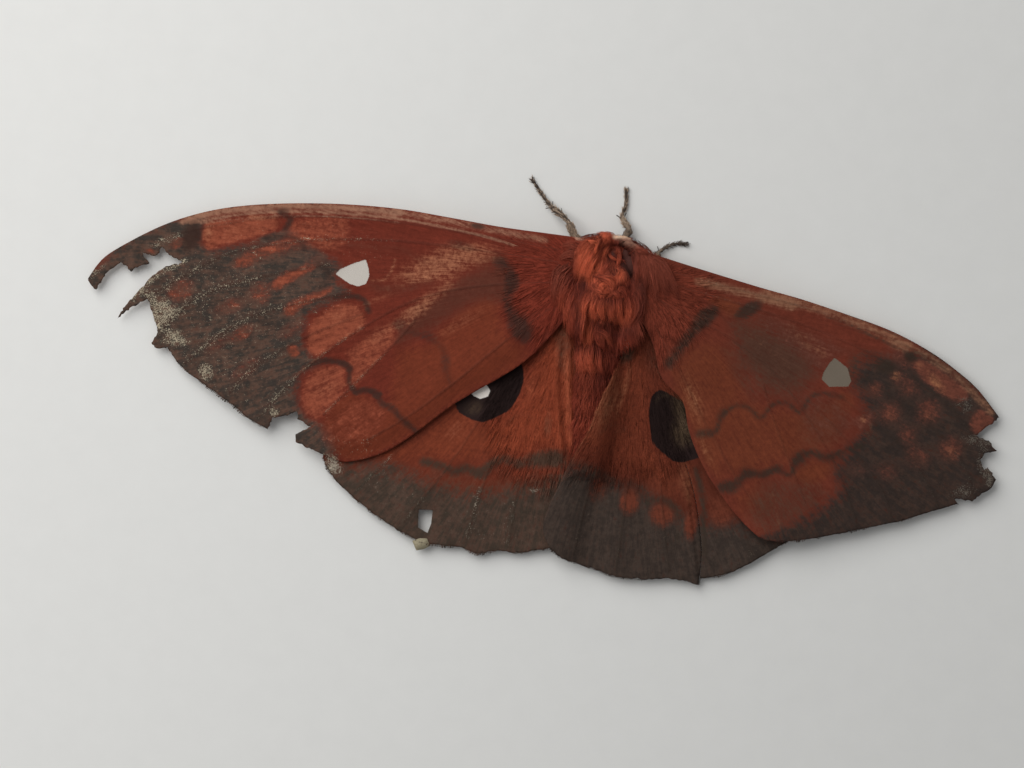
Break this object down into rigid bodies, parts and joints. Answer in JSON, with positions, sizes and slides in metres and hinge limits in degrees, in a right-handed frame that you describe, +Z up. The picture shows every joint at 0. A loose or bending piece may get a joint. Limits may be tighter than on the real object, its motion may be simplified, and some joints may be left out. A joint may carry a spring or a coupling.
{
  "type": "emperor moth",
  "caption": "Life-size emperor moth at rest, wings spread flat and tattered, shaggy body, still museum model.",
  "frame": {"origin": "bottom centre of the moth's bounding box, on the floor it rests on", "axes": "+Y towards the head, +X to the moth's right wing, +Z up away from the floor"},
  "size_m": [0.1416, 0.0586, 0.0096],
  "materials": {
    "thorax_hair": "long shaggy hair",
    "head_hair": "short hair",
    "abdomen_hair": "short dense hair",
    "wing_scales": "matt scales",
    "hindwing_scales": "matt silky scales",
    "leg_scales": "matt scales",
    "antenna_scales": "matt",
    "eye_gloss": "dark gloss"
  },
  "bodies": {
    "root": {"thorax": "thorax_hair", "head": "head_hair", "left_eye": "eye_gloss", "right_eye": "eye_gloss", "left_antenna": "antenna_scales", "right_antenna": "antenna_scales", "abdomen": "abdomen_hair", "left_forewing": "wing_scales", "right_forewing": "wing_scales", "left_hindwing": "hindwing_scales", "right_hindwing": "hindwing_scales", "left_foreleg": "leg_scales", "right_foreleg": "leg_scales", "left_midleg": "leg_scales", "right_midleg": "leg_scales", "left_hindleg": "leg_scales", "right_hindleg": "leg_scales"}
  },
  "joints": []
}
